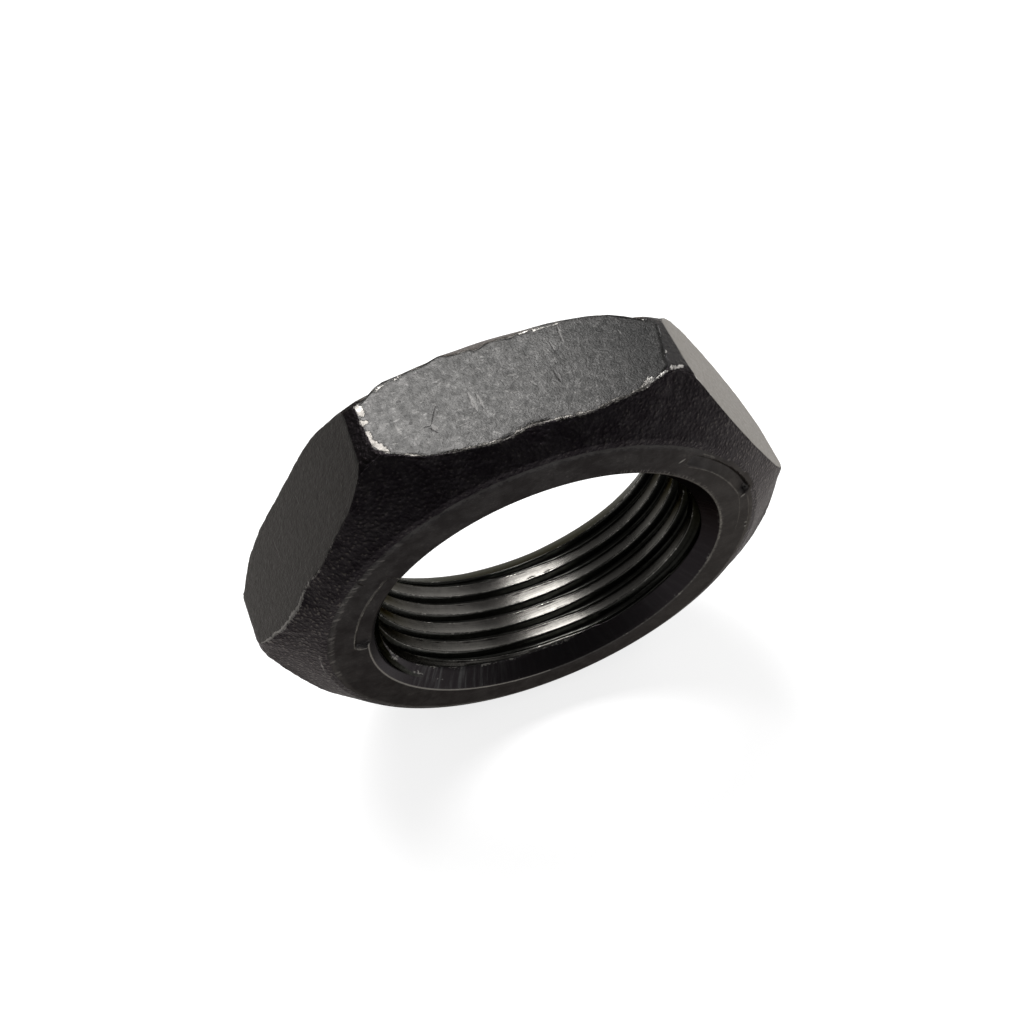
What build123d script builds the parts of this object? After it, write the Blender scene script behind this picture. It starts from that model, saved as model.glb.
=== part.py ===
from build123d import *
import os
from math import cos, degrees, radians, tan

# All sizes are in millimetres. The nut is made about its thread axis, Z, with the washer
# face at the top, and is stood on one of its flats at the end.

# Hexagon
across_flats = 41.0
thickness = 12.5

# The forging fills the corners less towards the front, so their blunt strips taper
corner_cut_front = 0.50
corner_cut_back = 0.15

# Cones that take the corners down towards both faces, measured from the face
chamfer_angle = 36.5
back_face_margin = 2.5

# Rounding that eases the front cone into the corner strips
corner_round = 1.8

# Thread, cut here to its minor diameter as a plain hole
thread_diameter = 30.0
thread_height = 1.0

# Countersinks that lead into the thread, wider at their mouths than the thread
countersink_angle = 90.0
front_countersink_oversize = 0.8
back_countersink_oversize = 1.6

# Washer face, the low turned seat round the front of the hole
washer_face_width = 2.75
washer_face_height = 0.25
shoulder_width = 0.8
rim_round = 0.12

# Two curved marks pressed into the washer face, on a circle off the thread's centre
mark_width = 1.15
mark_length = 9.75
mark_depth = 0.40
mark_inset = 1.10
mark_first_angle = 37.5
mark_step_angle = 120.0
mark_count = 2
mark_offset_right = 1.25
mark_offset_down = 0.65

# Heights and radii that follow from the sizes above
front = thickness / 2
back = -thickness / 2
sharp_corner_radius = across_flats / 2 / cos(radians(30))
front_strip_radius = sharp_corner_radius - corner_cut_front
back_strip_radius = sharp_corner_radius - corner_cut_back
strip_slope = (back_strip_radius - front_strip_radius) / thickness
chamfer_slope = tan(radians(chamfer_angle))
countersink_slope = tan(radians(countersink_angle / 2))
hole_radius = thread_diameter / 2 - thread_height
front_mouth_radius = (thread_diameter + front_countersink_oversize) / 2
back_mouth_radius = (thread_diameter + back_countersink_oversize) / 2
front_countersink_depth = (front_mouth_radius - hole_radius) / countersink_slope
back_countersink_depth = (back_mouth_radius - hole_radius) / countersink_slope
washer_face_radius = front_mouth_radius + washer_face_width
shoulder_radius = washer_face_radius + shoulder_width
shoulder_height = front - washer_face_height
back_face_radius = across_flats / 2 - back_face_margin
mark_radius = washer_face_radius - mark_inset


def hexagon_bar():
    """The six flats, as a length of hexagon bar."""
    outline = RegularPolygon(across_flats / 2, 6, major_radius=False)
    return extrude(outline, amount=thickness / 2, both=True)


def forged_blank():
    """Washer face, chamfer cones, corner strips, hole and countersinks, from one half section."""
    # Each cone is followed out from its face until it meets the taper of the corner strips
    front_reach = front_strip_radius + strip_slope * washer_face_height - shoulder_radius
    front_drop = front_reach / (1 / chamfer_slope - strip_slope)
    front_corner = (shoulder_radius + front_drop / chamfer_slope, shoulder_height - front_drop)
    back_rise = (back_strip_radius - back_face_radius) / (1 / chamfer_slope + strip_slope)
    back_corner = (back_face_radius + back_rise / chamfer_slope, back + back_rise)
    outline = Polyline(
        (hole_radius, front - front_countersink_depth),
        (front_mouth_radius, front),
        (washer_face_radius, front),
        (shoulder_radius, shoulder_height),
        front_corner,
        back_corner,
        (back_face_radius, back),
        (back_mouth_radius, back),
        (hole_radius, back + back_countersink_depth),
        close=True,
    )
    section = Plane.XZ * make_face(outline)
    levels = section.vertices().group_by(Axis.Z)
    section = fillet(levels[0] + levels[-1], radius=rim_round)
    by_front_corner = section.vertices().sort_by_distance((front_corner[0], 0, front_corner[1]))
    section = fillet(by_front_corner[:1], radius=corner_round)
    return revolve(section, axis=Axis.Z)


def curved_marks():
    """Round-ended arcs, as solid as the press tool that made them."""
    arc_angle = degrees((mark_length - mark_width) / mark_radius)
    slots = Sketch()
    for number in range(mark_count):
        start = mark_first_angle + number * mark_step_angle - arc_angle / 2
        slots += SlotArc(CenterArc((0, 0), mark_radius, start, arc_angle), mark_width)
    return Pos(mark_offset_right, -mark_offset_down, front) * extrude(slots, amount=-mark_depth)


nut = hexagon_bar() & forged_blank()
nut -= curved_marks()

# Tip the washer face forward, towards -Y, and lift the nut until a flat meets the ground
standing_nut = Pos(0, 0, across_flats / 2) * Rot(90, 0, 0) * nut

os.makedirs("parts", exist_ok=True)
export_step(standing_nut, "parts/nut.step")
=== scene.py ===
import math
from functools import reduce

import bmesh
import bpy
import numpy as np
from mathutils import Matrix, Vector, noise


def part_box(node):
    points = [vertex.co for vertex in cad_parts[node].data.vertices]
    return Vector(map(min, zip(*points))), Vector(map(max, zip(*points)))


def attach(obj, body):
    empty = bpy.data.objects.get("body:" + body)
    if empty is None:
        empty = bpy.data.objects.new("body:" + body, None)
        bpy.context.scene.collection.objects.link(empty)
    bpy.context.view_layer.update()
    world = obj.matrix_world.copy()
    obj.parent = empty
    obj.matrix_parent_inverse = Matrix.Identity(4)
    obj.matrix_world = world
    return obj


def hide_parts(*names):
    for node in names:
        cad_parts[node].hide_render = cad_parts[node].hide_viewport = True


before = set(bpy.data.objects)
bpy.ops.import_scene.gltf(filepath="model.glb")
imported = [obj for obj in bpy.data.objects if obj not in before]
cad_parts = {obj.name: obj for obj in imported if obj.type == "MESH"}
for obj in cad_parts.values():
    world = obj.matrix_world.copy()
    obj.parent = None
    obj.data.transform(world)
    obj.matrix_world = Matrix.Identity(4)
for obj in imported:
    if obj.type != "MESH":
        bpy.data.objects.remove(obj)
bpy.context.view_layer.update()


# HEXAGON
# The blank is forged from medium-carbon steel, its six flats are milled, and it is blacked. Each
# corner keeps a narrow blunt strip, and a pebbled cone takes the corners down to both faces.

MM = 0.001
box_low, box_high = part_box("nut")
flat_distance = (box_high.z - box_low.z) / 2 / MM
thickness = (box_high.y - box_low.y) / MM
front_y = box_low.y / MM
axis_height = (box_low.z + box_high.z) / 2 / MM

sharp_corner = flat_distance / math.cos(math.radians(30))
front_cut, back_cut = 0.5, 0.15
cone_angle = 36.5
cone_slope = math.tan(math.radians(cone_angle))
foot_radius, foot_depth = 18.95, 0.25
back_face_radius = flat_distance - 2.5

columns_per_flat = 100
columns = 6 * columns_per_flat
half_flat = columns_per_flat // 2
strip_columns = 11
flat_columns = half_flat - strip_columns

# Turns are in degrees, clockwise from the top as seen from the front
column = np.arange(columns)
flat_number = (column + half_flat) // columns_per_flat
step_in_flat = (column + half_flat) % columns_per_flat - half_flat
steps_out = np.abs(step_in_flat)
even_turn = flat_number * 60.0 + step_in_flat * 60.0 / columns_per_flat
near_corner = flat_number * 60 + np.where(step_in_flat < 0, -30, 30)
on_strip = steps_out > flat_columns


def place_on_nut(radius, depth, turn):
    """Turns radius, depth behind the front face and turn into a place, in millimetres."""
    radius, depth, angle = np.broadcast_arrays(radius, depth, np.radians(turn))
    across = radius * np.sin(angle)
    height = axis_height + radius * np.cos(angle)
    return np.stack([across, front_y + depth, height], -1)


def lumps(places, size, seed):
    """Smooth random values from about -1 to 1, with lumps of one size in millimetres."""
    shift = Vector((seed * 7.31, seed * 3.17, seed * 11.9))
    values = [noise.noise(Vector(place) / size + shift) for place in places.reshape(-1, 3)]
    return np.array(values).reshape(places.shape[:-1])


def ease(value, low, high):
    """Rises smoothly from 0 at low to 1 at high."""
    share = np.clip((value - low) / (high - low), 0, 1)
    return share * share * (3 - 2 * share)


def bell(value, width):
    """1 where the value is 0, falling off softly on both sides."""
    return np.exp(-((value / width) ** 2))


def turned_from(turn, middle, every=360):
    """Degrees from a middle turn, or from the nearest of several that are evenly spaced."""
    return (turn - middle + every / 2) % every - every / 2


def near_turn(turn, middle, width):
    """A soft bump round one turn of the nut."""
    return bell(turned_from(turn, middle), width)


def smooth_lower(first, second, reach):
    """The lower of two heights, with the crease between them rounded."""
    overlap = np.clip(1 - np.abs(first - second) / reach, 0, 1)
    return np.minimum(first, second) - reach / 4 * overlap**2


def strip_radius(depth, corner):
    """The corner strips taper, and the one at the upper right tapers most."""
    radius = sharp_corner - front_cut + (front_cut - back_cut) * depth / thickness
    uneven = np.clip(0.086 * (depth - 6.0), -0.15, 0.12)
    return radius + np.where(corner == 30, uneven, 0)


def blank_radius(depth, corner):
    """Both cones and a corner strip, rounded into each other."""
    front_cone = foot_radius + (depth - foot_depth) / cone_slope
    back_cone = back_face_radius + (thickness - depth) / cone_slope
    front = smooth_lower(strip_radius(depth, corner), front_cone, np.where(corner == 90, 1.6, 0.95))
    return smooth_lower(front, back_cone, np.where(np.isin(corner, [30, 90]), 1.3, 0.5))


def flat_radius(turn):
    """Distance from the axis out to the nearest flat."""
    return flat_distance / np.cos(np.radians(turned_from(turn, 0, 60)))


def strip_half_width(corner_depth):
    """Half the width of the nearest corner strip, in degrees, at one depth."""
    radius = blank_radius(corner_depth, near_corner)
    return 30 - np.degrees(np.arccos(flat_distance / radius))


def row_turns(half_width):
    """Column turns that crowd towards the edges of the corner strips."""
    from_middle = 1 - (1 - np.minimum(steps_out / flat_columns, 1)) ** 1.2
    on_the_strip = np.maximum(steps_out - flat_columns, 0) / strip_columns
    return flat_number * 60 + np.sign(step_in_flat) * (
        (30 - half_width) * from_middle + half_width * on_the_strip
    )


# Depths at which the strips run into the front cone and into the back cone
front_corner_depth = np.full(columns, 3.4)
back_corner_depth = np.full(columns, 8.5)
for _ in range(4):
    over_foot = strip_radius(front_corner_depth, near_corner) - foot_radius
    front_corner_depth = foot_depth + over_foot * cone_slope
    over_rim = strip_radius(back_corner_depth, near_corner) - back_face_radius
    back_corner_depth = thickness - over_rim * cone_slope
front_turn = row_turns(strip_half_width(front_corner_depth))
back_turn = row_turns(strip_half_width(back_corner_depth))


def edge_depths(turn, corner_depth, depths):
    """Depth at which the blank reaches out to the flats; on the strips, the corner's own depth."""
    reached = blank_radius(depths[:, None], near_corner[None, :])
    wanted = flat_radius(turn)
    found = [np.interp(wanted[j], reached[:, j], depths) for j in range(columns)]
    return np.where(steps_out >= flat_columns, corner_depth, np.array(found))


front_edge_depth = edge_depths(front_turn, front_corner_depth, np.linspace(0.3, 5.5, 500))
back_edge_depth = edge_depths(back_turn, back_corner_depth, np.linspace(12.4, 7.0, 500))

# The milled edges wander. Each pair is a place along the flat, clockwise from its middle, and how
# far the edge lies behind its true line. The back edges of the three hidden flats are made up
front_shifts = {
    0: [(-9.4, 0.12), (-8.6, -0.07), (-7.6, -0.15), (-5.7, -0.02), (-3.9, 0.09), (-2.4, 0.25),
        (-1.5, 0.45), (-0.4, 0.8), (0.5, 0.8), (1.3, 0.6), (2.7, 0.36), (4.1, 0.08),
        (5.6, 0.0), (7.0, -0.15), (8.1, -0.23), (9.4, -0.28)],
    1: [(-9.0, -0.1), (-5.0, -0.1), (-1.5, 0.06), (1.0, 0.02), (4.0, 0.0), (7.5, -0.2)],
    2: [(-9.5, -0.05), (-7.5, -0.28), (-5.8, -0.34), (-4.4, -0.3), (-2.5, -0.25), (2.0, 0.0),
        (9.0, 0.0)],
    3: [(-9.0, 0.0), (-7.5, 0.04), (-5.0, 0.2), (-2.5, 0.4), (0.0, 0.5), (3.0, 0.25),
        (6.0, -0.25), (7.5, -0.5), (9.0, -0.45)],
    4: [(-9.0, -0.3), (-7.0, -0.15), (-5.0, 0.06), (-2.8, 0.18), (0.0, 0.21), (1.4, 0.07),
        (4.3, -0.2), (5.9, -0.19), (7.5, -0.12), (9.4, -0.05)],
    5: [(-9.4, -0.16), (-8.5, -0.2), (-7.6, -0.05), (-6.9, -0.28), (-6.0, -0.22), (-4.4, 0.0),
        (-2.9, 0.1), (-1.6, 0.45), (-0.4, 0.55), (0.6, 0.41), (2.1, 0.18), (4.0, 0.13),
        (5.3, 0.09), (6.8, -0.16), (8.1, -0.36), (9.3, -0.29)],
}
back_shifts = {
    0: [(-11.0, -0.58), (-10.4, -0.26), (-9.6, 0.12), (-8.9, 0.22), (-8.0, 0.08), (-7.0, -0.05),
        (-6.1, -0.16), (-5.3, -0.12), (-4.4, 0.02), (-3.6, -0.36), (-3.1, -0.44),
        (-2.4, -0.45), (-1.6, -0.67), (-1.0, -0.42), (1.3, -0.36), (2.7, -0.15), (4.1, 0.06),
        (5.4, 0.1), (7.0, 0.21), (8.4, 0.19), (9.9, -0.16), (11.0, -0.5)],
    1: [(-11.0, 0.0), (-10.0, 0.15), (-9.0, 0.45), (-7.0, 0.8), (-4.0, 1.0), (4.0, 1.0),
        (8.0, 1.0), (9.5, 0.6), (11.0, 0.0)],
    5: [(-11.2, -0.3), (-10.7, -0.12), (-10.2, 0.1), (-9.4, 0.4), (-8.7, 0.61), (-7.9, 0.62),
        (-7.1, 0.57), (-5.5, 0.52), (-4.0, 0.25), (-1.6, -0.06), (1.5, -0.15), (3.1, 0.02),
        (4.6, 0.17), (6.2, 0.24), (7.0, 0.25), (7.8, 0.19), (8.5, 0.12), (9.5, 0.05),
        (11.0, 0.0)],
}


def edge_wander(turn, shifts, inward, seed):
    """How far a flat's edge lies from its true line, in depth; nothing at the corners."""
    along = flat_distance * np.tan(np.radians(turned_from(turn, 0, 60)))
    ring = place_on_nut(21.0, seed, turn)
    ragged = 0.12 * lumps(ring, 2.6, seed) + 0.05 * lumps(ring, 0.8, seed + 1)
    wander = inward * 0.3 * bell(along, 4.0) + ragged
    for number, pairs in shifts.items():
        measured = np.interp(along, [p[0] for p in pairs], [p[1] for p in pairs])
        wander = np.where(flat_number % 6 == number, measured + 0.35 * ragged, wander)
    return wander * (1 - ease(np.abs(along), 10.3, 11.4))


def toward_ends(count):
    """Shares from 0 to 1 that crowd towards both ends."""
    return (1 - np.cos(np.pi * np.arange(count + 1) / count)) / 2


def rounded(before, corner, after, reach, count):
    """Rows round the corner between two runs, each row as radius and depth."""
    toward = (before - corner) / np.linalg.norm(before - corner, axis=-1, keepdims=True)
    away = (after - corner) / np.linalg.norm(after - corner, axis=-1, keepdims=True)
    start = corner + toward * reach[:, None]
    end = corner + away * reach[:, None]
    return [
        (1 - share) ** 2 * start + 2 * share * (1 - share) * corner + share**2 * end
        for share in np.linspace(0, 1, count)
    ]


def as_row(radius, depth):
    """A row of the mesh, as radius and depth for every column."""
    return np.stack(np.broadcast_arrays(radius, depth, even_turn)[:2], -1)


# Wear has cut the foot of the front cone back a little at the lower right
foot_shift = -0.17 * near_turn(even_turn, 158, 32)
front_wander = edge_wander(front_turn, front_shifts, 1, 3)
back_wander = edge_wander(back_turn, back_shifts, -1, 5)


def front_cone_row(share):
    """One row of the front cone, from its foot to the edge of the flats and strips."""
    depth = foot_depth + (front_edge_depth - foot_depth) * share
    radius = blank_radius(depth, near_corner) + foot_shift * (1 - share)
    return as_row(radius, depth + front_wander * share**1.6)


def back_cone_row(share):
    """One row of the back cone, from the edge of the flats and strips to the back face."""
    depth = back_edge_depth + (thickness - back_edge_depth) * share
    radius = blank_radius(depth, near_corner)
    return as_row(radius, depth + back_wander * (1 - share) ** 1.6)


foot = front_cone_row(0.0)
front_edge = front_cone_row(1.0)
back_edge = back_cone_row(0.0)
back_rim = as_row(back_face_radius, thickness)

# Handling has rolled the edges over, most of all at the left end of the top flat
knocks = lumps(place_on_nut(front_edge[:, 0], front_edge[:, 1], front_turn), 0.9, 8)
battered = near_turn(front_turn, -27, 4) + 0.6 * near_turn(front_turn, 24, 4)
roll = 0.09 + 0.07 * ease(knocks, -0.2, 0.5) + 0.13 * battered
roll = np.where(on_strip, 0.04, roll)
front_bend = rounded(front_cone_row(0.92), front_edge, back_edge, roll, 6)
back_bend = rounded(front_edge, back_edge, back_cone_row(0.08), roll, 6)
for row in front_bend + back_bend:
    row[:, 0] = np.where(on_strip, blank_radius(row[:, 1], near_corner), row[:, 0])
back_face_start = as_row(back_face_radius - 1, thickness)
rim_bend = rounded(back_cone_row(0.9), back_rim, back_face_start, np.full(columns, 0.12), 4)

# Each row holds its radius and depth, its turns, and half the width of the strips there, which
# is far off on the rows that have none
far_off = 9.0
plain_width = np.full(columns, far_off)
hexagon_rows = []
for share in toward_ends(18)[:-1]:
    turn = even_turn + (front_turn - even_turn) * share
    hexagon_rows.append((front_cone_row(share), turn, plain_width))
front_width = strip_half_width(front_corner_depth)
hexagon_rows += [(row, front_turn, front_width) for row in front_bend]
first_flat_row = len(hexagon_rows) - 3
for share in toward_ends(22)[1:-1]:
    corner_depth = front_corner_depth + (back_corner_depth - front_corner_depth) * share
    half_width = strip_half_width(corner_depth)
    turn = row_turns(half_width)
    row = front_bend[-1] + (back_bend[0] - front_bend[-1]) * share
    row[:, 0] = smooth_lower(flat_radius(turn), strip_radius(row[:, 1], near_corner), 0.05)
    strip_depth = np.where(steps_out >= flat_columns, corner_depth, row[:, 1])
    row[:, 0] = np.where(on_strip, blank_radius(strip_depth, near_corner), row[:, 0])
    hexagon_rows.append((row, turn, half_width))
back_width = strip_half_width(back_corner_depth)
hexagon_rows += [(row, back_turn, back_width) for row in back_bend]
last_flat_row = len(hexagon_rows) - 3
for share in toward_ends(10)[1:-1]:
    turn = back_turn + (even_turn - back_turn) * share
    hexagon_rows.append((back_cone_row(share), turn, plain_width))
hexagon_rows += [(row, even_turn, plain_width) for row in rim_bend]

rows, turn, half_width = (np.array(part) for part in zip(*hexagon_rows))
radius, depth = np.moveaxis(rows, -1, 0)

# Distance in millimetres from the nearest edge of the flat, along the surface
one_degree = 0.45
end_gap = np.abs(np.abs(turned_from(turn, 0, 60)) - (30 - half_width)) * one_degree
end_gap = np.where(half_width < far_off, end_gap, far_off)
front_gap = np.hypot(radius - front_edge[:, 0], depth - front_edge[:, 1])
back_gap = np.hypot(radius - back_edge[:, 0], depth - back_edge[:, 1])
front_gap = np.where(on_strip, far_off, front_gap)
back_gap = np.where(on_strip, far_off, back_gap)
any_gap = np.minimum(np.minimum(front_gap, back_gap), end_gap)

# How worn each edge is in general. The top flat has taken the most knocks, and the edges that
# face right and down the fewest
places = place_on_nut(radius, depth, turn)
top_flat = near_turn(turn, 0, 30) ** 0.4
lower_left = near_turn(turn, -76, 13)
worn_front = 0.25 + 0.55 * top_flat + 0.8 * lower_left + 0.12 * near_turn(turn, -58, 8)
worn_back = 0.22 + 0.4 * top_flat
worn_end = 0.16 + 0.3 * near_turn(turn, -28.5, 3) + 0.1 * near_turn(turn, 28, 3)
worn_front = worn_front - 0.2 * near_turn(turn, 60, 22) - 0.25 * near_turn(turn, -38, 7)
front_reach = 0.2 + 0.1 * np.maximum(top_flat, lower_left)
hexagon_wear = np.maximum.reduce([
    worn_front * bell(front_gap, front_reach),
    worn_back * bell(back_gap, 0.15),
    worn_end * bell(end_gap, 0.12),
])


def on_top_flat(marks):
    """Marks on the top flat, each given as both its ends from the flat's middle, and the rest."""
    top = axis_height + flat_distance
    return [((x, y, top), (end_x, end_y, top), *rest) for x, y, end_x, end_y, *rest in marks]


# Single knocks that show bare metal: their two ends, half width and strength
knock_marks = on_top_flat([
    (-11.05, 1.75, -10.95, 1.05, 0.3, 1.3),
    (-11.2, 0.38, -10.85, 0.3, 0.2, 1.2),
    (-11.00, -0.55, -10.95, -1.45, 0.2, 1.2),
    (-10.9, -1.5, -10.2, -2.62, 0.24, 1.3),
    (-9.00, -3.25, -8.1, -3.8, 0.15, 0.9),
    (-6.6, -4.1, -5.8, -4.28, 0.11, 0.8),
    (-5.15, -4.25, -4.9, -4.3, 0.14, 0.9),
    (-2.4, -4.45, -1.6, -4.25, 0.11, 0.6),
    (-0.8, -3.95, 1.00, -4.05, 0.12, 0.8),
    (4.85, -4.35, 5.2, -4.35, 0.12, 0.8),
    (8.35, -3.8, 8.83, -3.4, 0.26, 1.3),
    (9.7, -3.25, 10.4, -3.00, 0.17, 1.0),
    (-9.6, 2.66, -8.6, 3.02, 0.12, 0.8),
    (-7.85, 3.1, -7.4, 3.42, 0.14, 0.9),
    (-6.7, 3.66, -5.2, 3.82, 0.12, 0.9),
    (-3.2, 3.92, -2.5, 3.85, 0.1, 0.8),
    (-1.95, 3.62, -1.15, 3.9, 0.13, 0.9),
    (0.85, 3.92, 1.3, 3.92, 0.12, 0.8),
    (1.8, 3.92, 2.25, 3.92, 0.11, 0.8),
    (2.6, 3.88, 4.6, 3.84, 0.09, 0.6),
]) + [
    ((8.95, -3.5, 40.9), (9.51, -3.5, 40.6), 0.22, 1.2),
    ((10.9, -2.8, 40.9), (11.95, -2.62, 40.35), 0.22, 1.45),
    ((10.85, -1.8, 41.0), (11.2, -1.1, 40.9), 0.18, 0.6),
]
foot_line_radius = 19.08
hexagon_wear += 0.85 * near_turn(turn, -92, 16) * bell(radius - foot_line_radius, 0.1)
for start, end, reach, strength in knock_marks:
    start, run = np.array(start), np.array(end) - np.array(start)
    share = np.clip((places - start) @ run / (run @ run), 0, 1)
    gap = np.linalg.norm(places - start - share[..., None] * run, axis=-1)
    touch = bell(gap, reach)
    hexagon_wear = np.maximum(hexagon_wear, strength * touch)
    radius = radius - 0.05 * touch * ease(any_gap, 0.5, 0.0)

chips = ease(lumps(places, 0.45, 21), 0.0, 0.5) * bell(any_gap, 0.18)
radius = radius - 0.06 * chips * np.clip(0.4 + hexagon_wear, 0, 1)

# The forging is a little uneven, and so are the flats, far less
row_number = np.arange(len(hexagon_rows))[:, None]
is_flat = (row_number >= first_flat_row) & (row_number < last_flat_row) & ~on_strip[None, :]
from_foot = ease(radius, foot_radius, foot_radius + 1.2)
from_rim = ease(radius, back_face_radius, back_face_radius + 1.2)
unevenness = 0.045 * lumps(places, 3.2, 31) + 0.022 * lumps(places, 1.1, 32)
forged_lift = unevenness * from_foot * from_rim * ease(any_gap, 0.0, 0.8)
milled_lift = 0.01 * lumps(places, 5.0, 33) * ease(any_gap, 0.1, 1.0)
radius = radius + np.where(is_flat, milled_lift, forged_lift)
hexagon_places = place_on_nut(radius, depth, turn)

nut_places = []
nut_wear_and_glint = []
nut_faces = []
nut_face_finish = []
MILLED, FORGED, TURNED, CUT = range(4)


def add_rows(places, wear):
    """Adds rows of places to the nut and gives back their numbers."""
    first = len(nut_places)
    nut_places.extend(places.reshape(-1, 3).tolist())
    nut_wear_and_glint.extend(wear.reshape(-1).tolist())
    return np.arange(first, len(nut_places)).reshape(places.shape[:2])


def skin(numbers, finish_of, closed=True):
    """Covers rows with faces that look outwards."""
    rows, count = numbers.shape
    for i in range(rows - 1):
        for j in range(count if closed else count - 1):
            k = (j + 1) % count
            nut_faces.append((numbers[i, j], numbers[i, k], numbers[i + 1, k], numbers[i + 1, j]))
            nut_face_finish.append(finish_of(i, j))


def hexagon_finish(row, spot):
    """Milled between the edges of a flat, forged everywhere else."""
    beside = steps_out[(spot + 1) % columns]
    between_ends = steps_out[spot] <= flat_columns and beside <= flat_columns
    return MILLED if between_ends and first_flat_row <= row < last_flat_row else FORGED


hexagon_numbers = add_rows(hexagon_places, hexagon_wear)
skin(hexagon_numbers, hexagon_finish)


def feed(socket, value):
    """Links a socket to another, or sets it to a value; a colour is given as three numbers."""
    if isinstance(value, bpy.types.NodeSocket):
        socket.id_data.links.new(value, socket)
    elif socket.type == "RGBA":
        socket.default_value = (*value, 1.0)
    else:
        socket.default_value = value


def put(kind, feeds, **options):
    """Adds a node to the tree that its feeds come from, and sets its options and sockets."""
    sources = [value for value in feeds.values() if isinstance(value, bpy.types.NodeSocket)]
    made = sources[0].id_data.nodes.new(kind)
    for name, value in options.items():
        setattr(made, name, value)
    for socket, value in feeds.items():
        feed(made.inputs[socket], value)
    return made


def sum_up(operation, *values):
    """One step of arithmetic on values that change over the surface."""
    return put("ShaderNodeMath", dict(enumerate(values)), operation=operation).outputs[0]


def times(first, second):
    """Two values multiplied."""
    return sum_up("MULTIPLY", first, second)


def times_plus(first, second, third):
    """Two values multiplied, and a third one added."""
    return sum_up("MULTIPLY_ADD", first, second, third)


def minus(first, second):
    """The first value less the second."""
    return sum_up("SUBTRACT", first, second)


def divided(first, second):
    """The first value over the second."""
    return sum_up("DIVIDE", first, second)


def higher(first, second):
    """The higher of two values."""
    return sum_up("MAXIMUM", first, second)


def away_from(value, middle):
    """How far a value lies from a middle, on either side of it."""
    return sum_up("ABSOLUTE", minus(value, middle))


def fade(value, low, high, from_value=0.0, to_value=1.0):
    """Goes smoothly from one value to another while the value that it follows goes up."""
    feeds = {"Value": value, "From Min": low, "From Max": high,
             "To Min": from_value, "To Max": to_value}
    return put("ShaderNodeMapRange", feeds, interpolation_type="SMOOTHSTEP").outputs[0]


def between(share, first, second):
    """Goes from one colour to another by a share."""
    feeds = {"Factor": share, 6: first, 7: second}
    return put("ShaderNodeMix", feeds, data_type="RGBA").outputs[2]


def painted(colour, coats):
    """A colour under some coats, each given as its mask, its strength and its own colour."""
    for mask, strength, tone in coats:
        colour = between(mask if strength == 1 else times(mask, strength), colour, tone)
    return colour


def vector_step(operation, first, second, output="Vector"):
    """One step of arithmetic on places."""
    feeds = {0: first, 1: second}
    return put("ShaderNodeVectorMath", feeds, operation=operation).outputs[output]


def scaled(place, factor):
    """A place, moved away from the origin by a factor."""
    feeds = {0: place, "Scale": factor}
    return put("ShaderNodeVectorMath", feeds, operation="SCALE").outputs[0]


def as_place(across, along=0.0):
    """Two values side by side, as a place in a texture."""
    return put("ShaderNodeCombineXYZ", {0: across, 1: along}).outputs[0]


def grain(places, size, detail=2.0, rough=0.5):
    """Random values from 0 to 1 with lumps of one size, given in millimetres."""
    feeds = {"Vector": places, "Scale": 1.0 / size, "Detail": detail, "Roughness": rough}
    return put("ShaderNodeTexNoise", feeds).outputs[0]


# What the sockets of the effects carry. All others carry one number
socket_kinds = dict.fromkeys(("Place", "From", "To"), "NodeSocketVector")
socket_kinds |= dict.fromkeys(("Dark", "Pale", "Fleck", "Color"), "NodeSocketColor")


def start_group(name, takes, gives):
    """A named effect, with the sockets that come in and the sockets that go out."""
    group = bpy.data.node_groups.new(name, "ShaderNodeTree")
    for way, labels in (("INPUT", takes), ("OUTPUT", gives)):
        for label in labels:
            kind = socket_kinds.get(label, "NodeSocketFloat")
            group.interface.new_socket(label, in_out=way, socket_type=kind)
    inside = group.nodes.new("NodeGroupInput").outputs
    outside = group.nodes.new("NodeGroupOutput").inputs
    return group, inside, outside


def use_group(group, feeds):
    """Places a named effect in a material or in another effect."""
    return put("ShaderNodeGroup", feeds, node_tree=group).outputs


# Nut rings: a spot's place, radius and depth in millimetres, and its turn in degrees
gives = ("Place", "Radius", "Depth", "Turn")
nut_rings, inside, outside = start_group("Nut rings", (), gives)
spot = scaled(nut_rings.nodes.new("ShaderNodeTexCoord").outputs["Object"], 1 / MM)
across, back, up = put("ShaderNodeSeparateXYZ", {0: spot}).outputs
up = minus(up, axis_height)
square = times_plus(up, up, sum_up("POWER", across, 2.0))
feed(outside["Place"], spot)
feed(outside["Radius"], sum_up("SQRT", square))
feed(outside["Depth"], minus(back, front_y))
feed(outside["Turn"], sum_up("DEGREES", sum_up("ARCTAN2", across, up)))

# Edge wear: the oxide breaks away in small ragged patches where an edge has been knocked
takes = ("Place", "Wear", "Start")
edge_wear, inside, outside = start_group("Edge wear", takes, ("Bare",))
ragged = times_plus(grain(inside["Place"], 1.1, 1.0), 0.6, grain(inside["Place"], 0.22, 4.0, 0.6))
level = times_plus(minus(ragged, 0.8), 1.5, inside["Wear"])
level = minus(level, inside["Start"])
feed(outside["Bare"], times(fade(level, 0.0, 0.25), fade(inside["Wear"], 0.03, 0.2)))

# Black oxide: a mottled skin in two tones, with fine flecks where it is thin
takes = ("Place", "Dark", "Pale", "Fleck", "Fleck Amount", "Patch Size")
oxide, inside, outside = start_group("Black oxide", takes, ("Color", "Tone"))
patch_place = scaled(inside["Place"], divided(1.0, inside["Patch Size"]))
patches = grain(patch_place, 1.0, 5.0, 0.65)
tone = fade(patches, 0.34, 0.66)
fleck_field = times_plus(patches, 0.45, times(grain(inside["Place"], 0.2, 3.0, 0.6), 0.7))
flecks = times(fade(fleck_field, 0.64, 0.76), inside["Fleck Amount"])
mottled = between(tone, inside["Dark"], inside["Pale"])
feed(outside["Color"], between(flecks, mottled, inside["Fleck"]))
feed(outside["Tone"], tone)

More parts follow.
